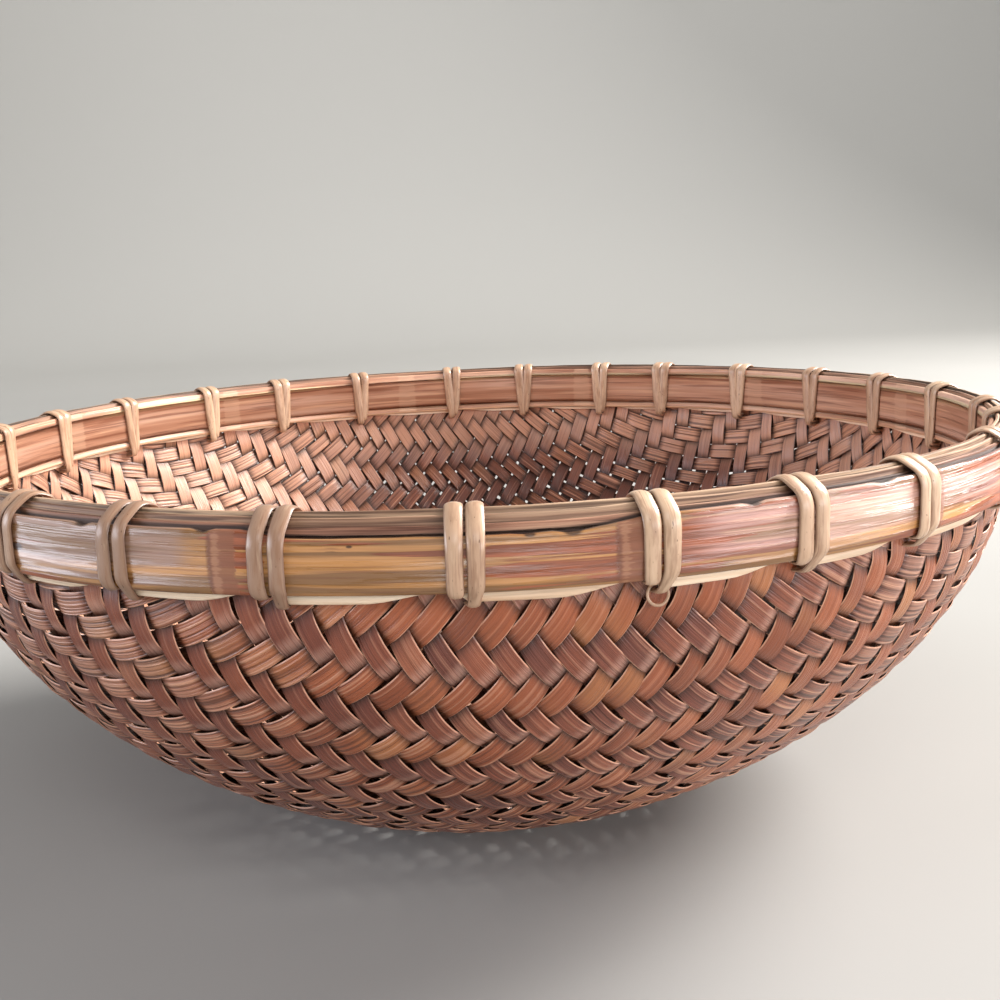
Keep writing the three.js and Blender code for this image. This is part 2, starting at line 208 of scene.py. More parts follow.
class Finish:
    """A material being put together, node by node."""

    def __init__(self, name, **shader_inputs):
        self.material = bpy.data.materials.new(name)
        self.material.use_nodes = True
        self.tree = self.material.node_tree
        self.shader = self.tree.nodes["Principled BSDF"]
        for key, value in shader_inputs.items():
            self.shader.inputs[key.replace("_", " ")].default_value = value

    def add(self, kind, inputs=(), **settings):
        node = self.tree.nodes.new(kind)
        for key, value in settings.items():
            setattr(node, key, value)
        for key, value in dict(inputs).items():
            self.put(value, node.inputs[key])
        return node

    def put(self, value, socket):
        if isinstance(value, bpy.types.NodeSocket):
            self.tree.links.new(value, socket)
        else:
            socket.default_value = value

    def here(self):
        return self.add("ShaderNodeTexCoord").outputs["Object"]

    def attribute(self, name, output="Fac"):
        return self.add("ShaderNodeAttribute", attribute_name=name).outputs[output]

    def parts(self, vector):
        return self.add("ShaderNodeSeparateXYZ", {0: vector}).outputs

    def vector(self, x, y, z):
        return self.add("ShaderNodeCombineXYZ", {0: x, 1: y, 2: z}).outputs[0]

    def stretched(self, vector, x, y, z, move=(0, 0, 0)):
        return self.add("ShaderNodeMapping", {"Vector": vector, "Scale": (x, y, z), "Location": move}).outputs[0]

    def length(self, vector):
        return self.add("ShaderNodeVectorMath", {0: vector}, operation="LENGTH").outputs["Value"]

    def distance(self, vector, point):
        return self.add("ShaderNodeVectorMath", {0: vector, 1: point}, operation="DISTANCE").outputs["Value"]

    def from_axis(self):
        """Distance from the basket's axis."""
        return self.length(self.stretched(self.here(), 1, 1, 0))

    def math(self, operation, one, other=0.0, clamp=False):
        return self.add("ShaderNodeMath", {0: one, 1: other}, operation=operation, use_clamp=clamp).outputs[0]

    def plus(self, one, other, clamp=False):
        return self.math("ADD", one, other, clamp)

    def minus(self, one, other):
        return self.math("SUBTRACT", one, other)

    def times(self, one, other, clamp=False):
        return self.math("MULTIPLY", one, other, clamp)

    def size_of(self, value):
        return self.math("ABSOLUTE", value)

    def between(self, value, low, high, to_low=0.0, to_high=1.0):
        """A smooth step of value from low to high."""
        inputs = {"Value": value, "From Min": low, "From Max": high, "To Min": to_low, "To Max": to_high}
        return self.add("ShaderNodeMapRange", inputs, interpolation_type="SMOOTHSTEP").outputs[0]

    def noise(self, vector, detail=2.0, roughness=0.5, scale=1.0):
        inputs = {"Vector": vector, "Scale": scale, "Detail": detail, "Roughness": roughness}
        return self.add("ShaderNodeTexNoise", inputs).outputs["Fac"]

    def blend(self, amount, one, other):
        return self.add("ShaderNodeMix", {0: amount, 6: one, 7: other}, data_type="RGBA").outputs[2]

    def colours(self, value, stops):
        node = self.add("ShaderNodeValToRGB", {"Fac": value})
        ramp = node.color_ramp
        while len(ramp.elements) < len(stops):
            ramp.elements.new(1.0)
        for element, (place, colour) in zip(ramp.elements, stops):
            element.position = place
            element.color = colour
        return node.outputs[0]

    def bump(self, height, distance, strength):
        inputs = {"Height": height, "Distance": distance, "Strength": strength}
        return self.add("ShaderNodeBump", inputs).outputs[0]

    def done(self, colour, roughness, normal):
        self.put(colour, self.shader.inputs["Base Color"])
        self.put(roughness, self.shader.inputs["Roughness"])
        self.put(normal, self.shader.inputs["Normal"])
        self.put(normal, self.shader.inputs["Coat Normal"])
        return self.material


def tone(red, green, blue):
    """A colour given as it looks on screen, 0 to 255, for a shader."""
    def linear(part):
        part /= 255
        return part / 12.92 if part <= 0.04045 else ((part + 0.055) / 1.055) ** 2.4
    return (linear(red), linear(green), linear(blue), 1.0)


def shade(colour, amount):
    return tuple(min(part * amount, 1) for part in colour[:3]) + (1,)


def hoop_grain(finish, along, across):
    """Coordinates that run slowly along a hoop and fast across it, on its faces and on its edges."""
    x, y, z = finish.parts(finish.here())
    depth = finish.minus(z, finish.from_axis())
    return finish.vector(finish.times(x, along), finish.times(y, along), finish.times(depth, across))


def patch_at(finish, azimuth, radius, reach, feather, jag=0.0):
    """1 within reach of a place on a hoop, fading to 0 over feather, at any height. Jag roughens its border."""
    away = finish.distance(finish.stretched(finish.here(), 1, 1, 0), on_circle(azimuth, radius, 0))
    return finish.between(finish.plus(away, jag), reach, reach + feather, 1.0, 0.0)


def by_nodes(finish, azimuths, radius, reach, feather, jag=0.0):
    """1 at each of the bamboo's nodes along a hoop, as patch_at."""
    patches = [patch_at(finish, azimuth, radius, reach, feather, jag) for azimuth in azimuths]
    strongest = patches[0]
    for patch in patches[1:]:
        strongest = finish.math("MAXIMUM", strongest, patch)
    return strongest


def spot_at(finish, azimuth, radius, height, reach):
    """1 at a small mark on a hoop, longer than it is tall, 0 away from it."""
    squeeze = 2.4
    tall = finish.stretched(finish.here(), 1, 1, squeeze)
    away = finish.distance(tall, on_circle(azimuth, radius, height * squeeze))
    return finish.between(away, reach * 0.5, reach, 1.0, 0.0)


def outer_hoop_finish(straw, stain, dark, red_patches, straw_patches, scuffs_and_sheen):
    """Split bamboo: straw skin with ragged red-brown patches, broken gloss, pores and matt bands at its nodes.

    Each patch has its azimuth, reach, feather and amount, and each scuff, partly a painted sheen, also its tone."""
    finish = Finish("outer hoop bamboo", Coat_Weight=0.18, Coat_Roughness=0.22, Specular_IOR_Level=0.7)
    broad = finish.noise(hoop_grain(finish, 11, 210), 2.5, 0.5)
    streaks = finish.noise(hoop_grain(finish, 10, 430), 2.0, 0.5)
    fibres = finish.noise(hoop_grain(finish, 26, 1500), 3.0, 0.6)
    fine = finish.minus(fibres, 0.5)
    jag = finish.times(fine, 0.012)

    ragged = finish.plus(broad, finish.times(fine, 0.16))
    ragged = finish.plus(ragged, finish.times(finish.minus(streaks, 0.5), 0.6))
    for patches, join in ((red_patches, finish.plus), (straw_patches, finish.minus)):
        for azimuth, reach, feather, amount in patches:
            patch = patch_at(finish, azimuth, RIM_RADIUS, reach, feather, jag)
            ragged = join(ragged, finish.times(patch, amount))
    stained = finish.between(ragged, 0.48, 0.525)
    ground = finish.blend(finish.between(streaks, 0.48, 0.54, 0, 0.8), straw, shade(straw, 0.46))
    ground = finish.blend(finish.between(streaks, 0.38, 0.46, 0.55, 0), ground, shade(straw, 1.6))
    worn = finish.noise(hoop_grain(finish, 30, 600), 3.0, 0.6)
    stain_tone = finish.blend(finish.between(worn, 0.42, 0.58), shade(stain, 0.74), shade(stain, 1.3))
    colour = finish.blend(stained, ground, stain_tone)

    height = finish.parts(finish.here())[2]
    # Scuffs are partly scuffed skin and partly a painted sheen, kept to the hoop's upper part and its streaks
    upper = finish.plus(height, finish.times(finish.minus(broad, 0.5), 12 * MM))
    upper = finish.between(upper, outer_hoop_bottom + 4.5 * MM, outer_hoop_bottom + 7 * MM)
    scuffed_and_sheen_mask = finish.times(upper, finish.between(streaks, 0.62, 0.44, 0.15, 1.0))
    for azimuth, reach, feather, amount, scuff_and_sheen_tone in scuffs_and_sheen:
        patch = finish.times(patch_at(finish, azimuth, RIM_RADIUS, reach, feather, jag), scuffed_and_sheen_mask)
        colour = finish.blend(finish.times(patch, amount), colour, scuff_and_sheen_tone)
    colour = finish.blend(finish.between(fibres, 0.5, 0.7, 0, 0.5), colour, shade(stain, 0.55))
    pores = finish.noise(hoop_grain(finish, 120, 2400), 1.0)
    colour = finish.blend(finish.between(pores, 0.7, 0.78, 0, 0.5), colour, dark)

    bands = by_nodes(finish, OUTER_HOOP_NODES, RIM_RADIUS, 0.0034, 0.0008, finish.times(fine, 0.003))
    beside = [azimuth - 0.5 for azimuth in OUTER_HOOP_NODES]
    pale = by_nodes(finish, beside, RIM_RADIUS, 0.0007, 0.0008, finish.times(fine, 0.006))
    scars = by_nodes(finish, [azimuth - 1.0 for azimuth in OUTER_HOOP_NODES], RIM_RADIUS, 0.0003, 0.0009)
    colour = finish.blend(finish.times(bands, 0.85), colour, tone(132, 80, 52))
    colour = finish.blend(finish.times(pale, 0.4), colour, tone(182, 132, 98))
    colour = finish.blend(finish.times(scars, 0.55), colour, shade(stain, 0.45))
    for azimuth, down, reach in HOOP_MARKS:
        chip = down < DEEPEST_CHIP
        level = outer_hoop_top - down + (hoop_lift(azimuth % 360) if chip else 0)
        spot = spot_at(finish, azimuth, RIM_RADIUS - (1.1 if chip else 0.4) * MM, level, reach * 1.2)
        colour = finish.blend(finish.times(spot, 0.85), colour, shade(dark, 0.6))
    # Painted shade on the back of the hoop's top edge, next to the fillers, dark inside this radius
    hidden = outer_hoop_inside + 1.2 * MM
    back = finish.between(finish.from_axis(), hidden, hidden + 0.7 * MM, 0.88, 0)
    colour = finish.blend(back, colour, shade(dark, 0.5))

    skin = finish.noise(hoop_grain(finish, 20, 480), 3.0, 0.6)
    skin = finish.times(finish.between(skin, 0.42, 0.56), finish.minus(1.0, bands))
    relief = finish.plus(fibres, finish.times(stained, 0.2))
    relief = finish.plus(relief, finish.times(streaks, 1.2))
    return finish.done(colour, finish.between(skin, 0, 1, 0.68, 0.23), finish.bump(relief, 0.0003, 0.6))


def inner_hoop_finish():
    """Split bamboo, seen from inside: reddish tan, a long cream streak near its top, fine lines, paler nodes."""
    finish = Finish("inner hoop bamboo", Coat_Weight=0.12, Coat_Roughness=0.25, Specular_IOR_Level=0.5)
    here = finish.here()
    height = finish.parts(here)[2]
    slow = finish.noise(finish.stretched(here, 7, 7, 0), 2.0, 0.5)
    broad = finish.noise(hoop_grain(finish, 8, 240), 2.0, 0.5)
    fibres = finish.noise(hoop_grain(finish, 14, 620), 3.0, 0.6)
    fine = finish.minus(fibres, 0.5)
    mixed = finish.plus(finish.times(slow, 0.45), finish.times(broad, 0.55))
    tans = ((0.38, tone(166, 116, 90)), (0.5, tone(194, 144, 116)), (0.62, tone(218, 178, 154)))
    colour = finish.colours(mixed, tans)
    colour = finish.blend(finish.between(fibres, 0.52, 0.64, 0, 0.6), colour, tone(124, 72, 50))
    colour = finish.blend(finish.between(fibres, 0.34, 0.46, 0.6, 0), colour, tone(234, 192, 156))
    centre = finish.plus(inner_hoop_top - 5.4 * MM, finish.times(slow, 4 * MM))
    away = finish.plus(finish.size_of(finish.minus(height, centre)), finish.times(fine, 2.4 * MM))
    shown = finish.between(finish.noise(finish.stretched(here, 11, 11, 0, (3, 1, 0)), 1.0), 0.4, 0.52)
    streak = finish.times(finish.between(away, 0.7 * MM, 1.3 * MM, 1, 0), shown)
    colour = finish.blend(finish.times(streak, 0.85), colour, tone(238, 208, 164))
    low = finish.between(height, inner_hoop_bottom + 0.5 * MM, inner_hoop_bottom + 1.2 * MM, 0.6, 0)
    colour = finish.blend(low, colour, tone(232, 196, 156))
    bands = by_nodes(finish, INNER_HOOP_NODES, inner_hoop_inside, 0.004, 0.0012, finish.times(fine, 0.004))
    colour = finish.blend(finish.times(bands, 0.4), colour, tone(220, 180, 150))
    return finish.done(colour, finish.between(broad, 0.35, 0.65, 0.34, 0.55), finish.bump(fibres, 0.0003, 0.5))


def thin_strip_finish(name, light, middle, dark, roughness, seams=(), lines=0.7):
    """Thin split strips of the rim: dull, with fine dark lines along them, a painted shadow where the shadow
    attribute says, and painted shade in the gaps at some radii.
    """
    finish = Finish(name, Specular_IOR_Level=0.45)
    broad = finish.noise(hoop_grain(finish, 10, 420), 3.0, 0.6)
    fibres = finish.noise(hoop_grain(finish, 24, 1300), 2.0, 0.6)
    colour = finish.colours(broad, ((0.36, dark), (0.5, middle), (0.66, light)))
    colour = finish.blend(finish.between(fibres, 0.5, 0.62, 0, lines), colour, shade(dark, 0.45))
    shadow = finish.times(finish.attribute("shadow"), 0.9, True)
    colour = finish.blend(shadow, colour, shade(dark, 0.2))
    # Painted shade in the gaps between strips at these radii
    for radius in seams:
        gap_distance = finish.size_of(finish.minus(finish.from_axis(), radius))
        colour = finish.blend(finish.between(gap_distance, 0.18 * MM, 0.36 * MM, 0.9, 0), colour, shade(dark, 0.25))
    normal = finish.bump(finish.plus(broad, fibres), 0.0003, 0.7)
    return finish.done(colour, finish.between(broad, 0.3, 0.7, roughness - 0.08, roughness + 0.1), normal)


def cane_finish():
    """Pale peeled cane of the lashings: glossy, with fine lines along it and small dark specks, painted shade
    along its edges, and darker as painted shade near azimuth 335.
    """
    finish = Finish("peeled cane", Coat_Weight=0.4, Coat_Roughness=0.26, Specular_IOR_Level=0.5)
    place = finish.attribute("place", "Vector")
    cloudy = finish.noise(finish.stretched(place, 90, 1.2, 7.3), 3.0, 0.6)
    fibres = finish.noise(finish.stretched(place, 60, 5, 3.1), 3.0, 0.65)
    # Dark to pale tone; the dark end is painted shade on the lashings near azimuth 335
    cane_tones = ((0.0, tone(150, 118, 96)), (0.5, tone(184, 148, 120)), (1.0, tone(204, 172, 142)))
    base = finish.colours(finish.attribute("tone_and_shade"), cane_tones)
    colour = finish.blend(finish.between(cloudy, 0.44, 0.66, 0, 0.55), base, tone(140, 100, 72))
    colour = finish.blend(finish.between(cloudy, 0.25, 0.42, 0.35, 0), colour, tone(220, 194, 164))
    colour = finish.blend(finish.between(fibres, 0.54, 0.7, 0, 0.55), colour, tone(120, 80, 56))
    specks = finish.noise(finish.stretched(place, 520, 3.4, 9.7), 1.0)
    colour = finish.blend(finish.between(specks, 0.71, 0.77, 0, 0.8), colour, tone(96, 66, 40))
    # Painted shade along the cane's edges
    edge = finish.size_of(finish.parts(place)[1])
    colour = finish.blend(finish.between(edge, 0.78, 1.0, 0, 0.6), colour, tone(104, 70, 48))
    return finish.done(colour, finish.between(cloudy, 0.3, 0.7, 0.36, 0.5), finish.bump(fibres, 0.0001, 0.5))


def splint_finish():
    """Thin bamboo splints: each with its own tint, lengthwise ridges, edges paler partly by a painted highlight,
    and painted shade in the hollows.
    """
    finish = Finish("bamboo splint", Specular_IOR_Level=0.5, Coat_Weight=0.22, Coat_Roughness=0.24)
    place = finish.attribute("place", "Vector")
    rise, level, worn = (finish.attribute(name) for name in ("rise", "level", "worn"))
    along, across, number = finish.parts(place)
    own = finish.add("ShaderNodeTexWhiteNoise", {"W": number}, noise_dimensions="1D").outputs["Value"]
    tints = (
        (0.0, tone(88, 38, 22)), (0.3, tone(122, 56, 32)), (0.6, tone(150, 76, 44)),
        (0.8, tone(168, 92, 58)), (0.94, tone(182, 108, 72)), (1.0, tone(198, 134, 94)),
    )
    drift = finish.noise(finish.vector(finish.times(along, 14), 0, finish.times(number, 3.7)), 3.0, 0.6)
    mixed = finish.plus(finish.times(own, 0.7), finish.times(finish.minus(drift, 0.32), 0.9), True)
    colour = finish.colours(mixed, tints)
    halfway = (WARP_NUMBERS + WEFT_NUMBERS) / 2
    is_weft = finish.between(number, halfway - 1, halfway + 1)
    # Painted sheen and shade by set: weft splints greyed toward pink, warp splints toward orange
    colour = finish.blend(0.3, colour, finish.blend(is_weft, tone(120, 78, 70), tone(178, 104, 64)))
    golden = finish.times(finish.between(drift, 0.5, 0.68, 0, 0.34), is_weft)
    colour = finish.blend(golden, colour, tone(206, 148, 90))
    # Inner faces paler, partly their own paler tone and partly painted light on the lit inside
    colour = finish.blend(finish.times(finish.attribute("inner"), 0.46, True), colour, tone(226, 182, 152))
    # Painted shade on the inside of the back wall
    colour = finish.blend(finish.times(finish.attribute("shaded_back"), 0.5, True), colour, tone(74, 38, 26))
    # Painted shade: the half of each float that bends the other way is darker
    colour = finish.blend(finish.between(worn, -0.2, -1.0, 0, 0.3), colour, tone(92, 50, 46))

    ridges = finish.noise(finish.stretched(place, 5, 3.4, 2.9), 1.5, 0.45)
    fibres = finish.noise(finish.stretched(place, 40, 11, 5.3), 2.0, 0.6)
    # Painted highlight on the tops of level floats high on the wall, where light from above catches them
    high_up = finish.between(finish.parts(finish.here())[2], 50 * MM, 95 * MM)
    lit_level_tops = finish.times(finish.between(level, 0.45, 0.85), high_up)
    lit_level_tops = finish.times(lit_level_tops, finish.between(rise, 0.2, 0.8, 0, 0.42))
    colour = finish.blend(lit_level_tops, colour, tone(206, 160, 134))
    # Ridge lines painted darker and paler, most on level splints, as shade and highlight from light above; the
    # same weight scales their bump
    level_ridges = finish.between(level, 0.12, 0.75, 0.25, 1.0)
    low = finish.times(finish.between(ridges, 0.5, 0.36), level_ridges)
    colour = finish.blend(finish.times(low, 0.7), colour, tone(64, 30, 20))
    high = finish.times(finish.between(ridges, 0.55, 0.68), level_ridges)
    colour = finish.blend(finish.times(high, 0.7), colour, tone(222, 166, 134))
    # Partly real scratches, partly a painted highlight: the other half of each float paler along its fibres
    lit_and_scraped = finish.times(finish.between(worn, 0.3, 0.95), finish.between(fibres, 0.34, 0.56, 0.2, 1.0))
    colour = finish.blend(finish.times(lit_and_scraped, 0.5), colour, tone(216, 170, 150))
    colour = finish.blend(finish.between(fibres, 0.55, 0.75, 0, 0.4), colour, tone(84, 42, 26))
    # Paler raised edges, partly fresh-cut, partly a painted highlight
    lit_pale_edge = finish.between(finish.size_of(across), 0.88, 0.97, 0, 0.75)
    lit_pale_edge = finish.times(lit_pale_edge, finish.between(rise, 0.45, 0.75))
    colour = finish.blend(lit_pale_edge, colour, tone(222, 168, 138))
    # Painted shade in the hollows where the splints dip under
    colour = finish.blend(finish.between(rise, -0.2, 0.8, 0.85, 0), colour, tone(40, 17, 11))
    relief = finish.plus(finish.times(fibres, 0.2), finish.times(ridges, level_ridges))
    return finish.done(colour, finish.between(fibres, 0.3, 0.7, 0.32, 0.46), finish.bump(relief, 0.0014, 0.95))


# The woven bowl

def wall_line():
    """The outside of the bowl from the centre of the base to the clamp: run, radius, height, outward direction."""
    reach, lean = WALL_CURVE_REACH, WALL_TOP_LEAN
    one, two, three, four = np.array((
        (BASE_FLAT_RADIUS, 0),
        (BASE_FLAT_RADIUS + BASE_CURVE_REACH, 0),
        (wall_top_outside - reach * math.sin(lean), clamp_height - reach * math.cos(lean)),
        (wall_top_outside, clamp_height),
    ))
    step = np.linspace(0, 1, 400)[:, None]
    back = 1 - step
    curve = back ** 3 * one + 3 * step * back ** 2 * two + 3 * step ** 2 * back * three + step ** 3 * four
    radii = np.linspace(0, BASE_FLAT_RADIUS, BASE_STEPS, endpoint=False)
    flat = np.column_stack((radii, np.zeros(BASE_STEPS)))
    top = np.column_stack((np.full(20, wall_top_outside), np.linspace(clamp_height, filler_bottom, 21)[1:]))
    line = np.vstack((flat, curve, top))
    run = np.concatenate(((0,), np.cumsum(np.hypot(*np.diff(line, axis=0).T))))
    heading = np.gradient(line, run, axis=0)
    heading /= np.hypot(*heading.T)[:, None]
    return run, line[:, 0], line[:, 1], heading[:, 1], -heading[:, 0]


wall_run, wall_radius, wall_height, wall_out_radius, wall_out_height = wall_line()
splint_end_run = float(np.interp(SPLINT_TOP, wall_height[BASE_STEPS:], wall_run[BASE_STEPS:]))


def mat_run(u, v):
    """Distance from the centre of the base, over the wall, of a place in the mat, counted in splints."""
    spread = np.hypot(u, v)
    return SPLINT_PITCH * spread * (1 - MAT_DRAW * spread / MAT_REACH * np.cos(4 * np.arctan2(v, u)))


def on_bowl(u, v, out):
    """Places of the drawn-up mat, out metres off the middle of the wall."""
    turn = np.arctan2(v, u)
    azimuth = turn + MAT_SWING * np.hypot(u, v) / MAT_REACH * np.sin(4 * turn) / 4 - MAT_TURN
    run = mat_run(u, v)
    off = out - WALL_THICKNESS / 2
    radius = np.interp(run, wall_run, wall_radius) + off * np.interp(run, wall_run, wall_out_radius)
    height = np.interp(run, wall_run, wall_height) + off * np.interp(run, wall_run, wall_out_height)
    return np.column_stack((radius * np.sin(azimuth), -radius * np.cos(azimuth), height))


def splint_reach(centre):
    """How far a splint runs to each side of its middle before its end is hidden in the rim."""
    along = np.linspace(0, 40, 2001)
    inside = mat_run(along, np.full_like(along, centre)) < splint_end_run
    return float(along[inside][-1]) if inside[0] else 0.0


def splint_places(along, index, section, is_warp, luck):
    """Places along one splint: over two, under two, with its own width, wander and unevenness.

    Also which side of the mat it is on, how level it lies, how much painted shade falls on its inside at the back
    wall and how far it dips or bends over."""
    centre = index + 0.5
    across, out = section[:, 0], section[:, 1]
    beat = along + index + TWILL_PHASE
    side = np.tanh(np.sin(np.pi / 2 * beat)) / math.tanh(1.0) * (1 if is_warp else -1)
    floats = np.floor(beat / 2).astype(int) % MOST_FLOATS
    phases = luck.uniform(0, 2 * np.pi, 4)
    uneven = np.clip(luck.normal(1, 0.12, MOST_FLOATS), 0.8, 1.16)[floats]
    tilt = luck.normal(0.16 * MM if is_warp else -0.10 * MM, 0.18 * MM, MOST_FLOATS)[floats] * np.abs(side)
    wander = 0.035 * np.sin(0.33 * along + phases[0]) + 0.018 * np.sin(0.91 * along + phases[1])
    width = 1 + np.clip(luck.normal(0, 0.035), -0.06, 0.06) + 0.025 * np.sin(0.27 * along + phases[2])

    run = mat_run(along, np.full_like(along, centre))
    azimuth = np.degrees(np.arctan2(centre, along) if is_warp else np.arctan2(along, centre)) - 40
    climb = smooth(run, 50 * MM, 92 * MM)
    held = smooth(run, splint_end_run - 17 * MM, splint_end_run - 9 * MM)
    loose = 1 - smooth(degrees_apart(azimuth, LOOSE_AZIMUTH), 22, 38)
    loose = loose * smooth(run, 150 * MM, 180 * MM) * (1 - smooth(run, 226 * MM, 244 * MM))
    # Painted shade on the inside of the back wall around this azimuth
    shaded_back = 1 - smooth(degrees_apart(azimuth, SHADED_BACK_AZIMUTH), 20, 56)
    shaded_back = shaded_back * (1 - smooth(run, 222 * MM, 252 * MM)) * smooth(run, 120 * MM, 195 * MM)

    share = (0.82 + 0.14 * smooth(run, 115 * MM, 175 * MM) - 0.125 * loose) * width
    thickness = (0.58 + 0.14 * climb) * MM
    lift = (0.46 + 0.79 * climb - 0.55 * held) * MM
    cross = centre + wander + across * share / 2
    off = side * uneven * lift + out * thickness + across * tilt * climb * (1 - held)
    here, ahead = (
        on_bowl(along + step, cross, off) if is_warp else on_bowl(cross, along + step, off) for step in (0, 0.05)
    )
    heading = ahead - here
    steep = np.abs(heading[:, 2]) / np.linalg.norm(heading, axis=1)
    bend = np.cos(np.pi / 2 * beat) * (1 if is_warp else -0.4)
    return here, side, 1 - steep, shaded_back, bend


def splint_group(name, indices, is_warp, finish, luck):
    """Closed flat tubes, one for each splint, rolled up from flat grids."""
    sides = len(SPLINT_SECTION) - 1
    reaches = [splint_reach(index + 0.5) for index in indices]
    bm = bmesh.new()
    for number, reach in enumerate(reaches):
        steps = max(6, round(2 * reach * SPLINT_STEPS))
        place = Matrix.Translation((0.5, 0.5, number))
        bmesh.ops.create_grid(bm, x_segments=steps, y_segments=sides, size=0.5, matrix=place)
    mesh = bpy.data.meshes.new(name)
    bm.to_mesh(mesh)
    flat = np.zeros(len(mesh.vertices) * 3)
    mesh.vertices.foreach_get("co", flat)
    flat = flat.reshape(-1, 3)
    numbers = np.rint(flat[:, 2]).astype(int)
    rounds = np.rint(flat[:, 1] * sides).astype(int)
    places = np.zeros_like(flat)
    pattern = np.zeros_like(flat)
    marks = {key: np.zeros(len(flat)) for key in ("rise", "level", "inner", "shaded_back", "worn")}
    first = WARP_NUMBERS if is_warp else WEFT_NUMBERS
    for number, index in enumerate(indices):
        mine = numbers == number
        along = (flat[mine, 0] * 2 - 1) * reaches[number]
        across, out = SPLINT_SECTION[rounds[mine]].T
        here, side, level, hidden, bend = splint_places(along, index, SPLINT_SECTION[rounds[mine]], is_warp, luck)
        rise = side * np.where(out >= 0, 1, -1)
        faces_in = 0.5 - 0.5 * np.sign(out)
        places[mine] = here
        pattern[mine] = np.column_stack((along * SPLINT_PITCH, across, np.full(len(along), first + index)))
        marks["rise"][mine] = rise
        marks["level"][mine] = level
        # Inner faces: paler tone and painted light, except where painted shade falls at the back wall
        marks["inner"][mine] = faces_in * (1 - 0.95 * hidden)
        marks["shaded_back"][mine] = faces_in * hidden
        # Which half of a float a place lies in, for real scratches and for painted light and shade on the two
        # halves
        marks["worn"][mine] = bend * (rise > 0) * (out >= 0)
    mesh.vertices.foreach_set("co", places.ravel())
    mesh.attributes.new("place", "FLOAT_VECTOR", "POINT").data.foreach_set("vector", pattern.ravel())
    for key, values in marks.items():
        mesh.attributes.new(key, "FLOAT", "POINT").data.foreach_set("value", values)
    corners = np.zeros(len(mesh.loops), dtype=int)
    mesh.loops.foreach_get("vertex_index", corners)
    bands = (numbers + 0.06 + 0.88 * flat[:, 1]) / len(indices)
    unrolled = np.column_stack((0.01 + 0.98 * flat[:, 0], bands))[corners]
    mesh.uv_layers.new(name="OFBake").data.foreach_set("uv", unrolled.ravel())
    bm.clear()
    bm.from_mesh(mesh)
    bmesh.ops.remove_doubles(bm, verts=bm.verts, dist=1e-7)
    close_ends(bm, sides + 1)
    for face in bm.faces:
        face.smooth = True
    bm.to_mesh(mesh)
    bm.free()
    mesh.set_sharp_from_angle(angle=math.radians(24))
    add_piece(name, mesh, finish, "weave", "woven_bowl")


def woven_bowl():
    finish = splint_finish()
    luck = np.random.default_rng(11)
    half = SPLINT_COUNT // 2
    indices = [index for index in range(-half, half) if splint_reach(index + 0.5) > 3]
    for word, is_warp in (("warp", True), ("weft", False)):
        for number, group in enumerate(np.array_split(indices, SPLINT_GROUPS), 1):
            splint_group(f"{word}_splints_{number}", [int(index) for index in group], is_warp, finish, luck)


# Rings of the rim

def lay_out_ring(bm, radius, height):
    """UV map for a ring: a band for each arc of it, with the seams on lines of vertices."""
    layer = bm.loops.layers.uv.new("OFBake")
    for face in bm.faces:
        middle = face.calc_center_median()
        middle_turn = azimuth_of(middle) / 360
        middle_round = round_share(middle, radius, height)
        arc = int(middle_turn * RING_ARCS)
        for loop in face.loops:
            point = loop.vert.co
            turn = azimuth_of(point) / 360
            turn += round(middle_turn - turn)
            share = round_share(point, radius, height)
            share += round(middle_round - share)
            loop[layer].uv = (0.01 + 0.98 * (turn * RING_ARCS - arc), (arc + 0.05 + 0.9 * share) / RING_ARCS)


def round_share(point, radius, height):
    """How far round the section a point lies, in turns."""
    return (math.atan2(point.z - height, math.hypot(point.x, point.y) - radius) / (2 * math.pi) + 0.5) % 1


def ring_mesh(
    name, inside, outside, bottom, top, rounding, shape, cuts=8, bulge=0.0, bulge_inside=0.0, shadow=None,
):
    """A strip bent into a ring: a rounded section, bulged a little, spun round the axis, then made uneven."""
    bm = bmesh.new()
    section = ((inside, bottom), (outside, bottom), (outside, top), (inside, top))
    corners = [bm.verts.new((radius, 0, height)) for radius, height in section]
    bm.faces.new(corners)
    bmesh.ops.bevel(
        bm, geom=corners, offset=rounding, offset_type="OFFSET", segments=3, profile=0.5,
        affect="VERTICES", material=-1,
    )
    tall = [edge for edge in bm.edges if abs(edge.verts[0].co.z - edge.verts[1].co.z) > 0.4 * (top - bottom)]
    bmesh.ops.subdivide_edges(bm, edges=tall, cuts=cuts)
    middle, half = (bottom + top) / 2, (top - bottom) / 2
    for vert in bm.verts:
        fall = ((vert.co.z - middle) / half) ** 2
        share = (vert.co.x - inside) / (outside - inside)
        vert.co.x += -bulge * fall * share + bulge_inside * fall * (1 - share)
    bmesh.ops.delete(bm, geom=bm.faces[:], context="FACES_ONLY")
    bmesh.ops.spin(
        bm, geom=bm.verts[:] + bm.edges[:], cent=(0, 0, 0), axis=(0, 0, 1), angle=2 * math.pi,
        steps=RING_STEPS, use_merge=True,
    )
    bmesh.ops.recalc_face_normals(bm, faces=bm.faces)
    lay_out_ring(bm, (inside + outside) / 2, middle)
    for vert in bm.verts:
        radius = math.hypot(vert.co.x, vert.co.y)
        out, up = shape(azimuth_of(vert.co), radius, vert.co.z)
        vert.co.x *= 1 + out / radius
        vert.co.y *= 1 + out / radius
        vert.co.z += up
    if shadow is not None:
        layer = bm.verts.layers.float.new("shadow")
        for vert in bm.verts:
            vert[layer] = shadow(azimuth_of(vert.co), vert.co.z)
    for face in bm.faces:
        face.smooth = True
    return mesh_from(bm, name)


